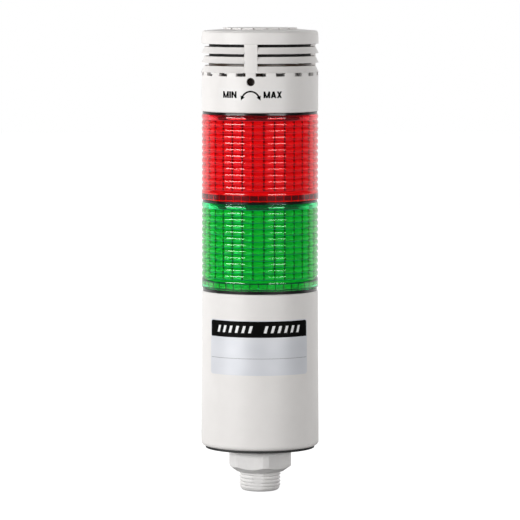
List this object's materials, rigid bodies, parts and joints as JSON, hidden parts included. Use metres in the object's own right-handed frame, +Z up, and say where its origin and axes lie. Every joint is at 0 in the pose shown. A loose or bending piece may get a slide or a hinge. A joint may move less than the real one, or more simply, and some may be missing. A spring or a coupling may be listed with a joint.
{
  "type": "stack light",
  "caption": "Round signal tower with a green and a red light module, a louvred sounder head and a threaded panel mount with nut and gasket.",
  "frame": {"origin": "on the axis, in the plane of the panel's face that the gasket rests on", "axes": "+Z up along the axis, -Y towards the front of the base"},
  "size_m": [0.0606, 0.0606, 0.2388],
  "materials": {
    "ivory_plastic": "satin moulded ivory plastic",
    "grey_nylon": "matte light grey nylon",
    "black_rubber": "matte black rubber",
    "black_plastic": "glossy black plastic",
    "green_lens": "clear green moulded plastic",
    "red_lens": "clear red moulded plastic",
    "white_plastic": "white moulded plastic",
    "circuit_board": "dark brown circuit board",
    "white_board": "white-coated circuit board",
    "led": "pale light-emitting diode bodies",
    "brass": "bright brass",
    "steel": "zinc-plated steel",
    "terminal_plastic": "dark grey moulded plastic",
    "trimmer_plastic": "dark brown moulded plastic"
  },
  "bodies": {
    "base": {"base_housing": "ivory_plastic", "threaded_nipple": "grey_nylon", "base_socket_ring": "black_plastic", "base_contact_board": "circuit_board", "terminal_block": "terminal_plastic", "terminal_screws": "steel"},
    "gasket": {"mounting_gasket": "black_rubber"},
    "nut": {"mounting_nut": "grey_nylon"},
    "green": {"green_lens": "green_lens", "green_twist_collar": "white_plastic", "green_contact_pins": "brass", "green_led_post": "white_plastic", "green_led_strips": "white_board", "green_leds": "led", "green_contact_board": "circuit_board", "green_socket_ring": "black_plastic"},
    "red": {"red_lens": "red_lens", "red_twist_collar": "black_plastic", "red_contact_pins": "brass", "red_led_post": "white_plastic", "red_led_strips": "white_board", "red_leds": "led", "red_contact_board": "circuit_board", "red_socket_ring": "black_plastic"},
    "head": {"head_housing": "ivory_plastic", "louvre_cap": "ivory_plastic", "head_twist_collar": "white_plastic", "head_contact_pins": "brass", "sounder_board": "circuit_board", "sounder": "black_plastic", "board_screws": "steel", "volume_trimmer": "trimmer_plastic"},
    "volume": {"volume_screw": "trimmer_plastic"}
  },
  "joints": [
    {"name": "gasket_slide", "type": "slide", "parent": "base", "child": "gasket", "axis": [0, 0, -1], "range_m": [0, 0.0082]},
    {"name": "nut_turn", "type": "hinge", "parent": "gasket", "child": "nut", "pos_m": [0, 0, -0.006], "axis": [0, 0, -1], "range_deg": [0, 1620]},
    {"name": "green_twist", "type": "hinge", "parent": "base", "child": "green", "pos_m": [0, 0, 0.0831], "axis": [0, 0, 1], "range_deg": [0, 18]},
    {"name": "red_twist", "type": "hinge", "parent": "green", "child": "red", "pos_m": [0, 0, 0.12835], "axis": [0, 0, 1], "range_deg": [0, 18]},
    {"name": "head_twist", "type": "hinge", "parent": "red", "child": "head", "pos_m": [0, 0, 0.1736], "axis": [0, 0, 1], "range_deg": [0, 18]},
    {"name": "volume_turn", "type": "hinge", "parent": "head", "child": "volume", "pos_m": [-0.00314, -0.0238, 0.1894], "axis": [-0.1305, -0.9914, 0], "range_deg": [-130, 130]}
  ],
  "couplings": [
    {"joint": "gasket_slide", "follows": "nut_turn", "m_per_rad": 0.00028875}
  ]
}
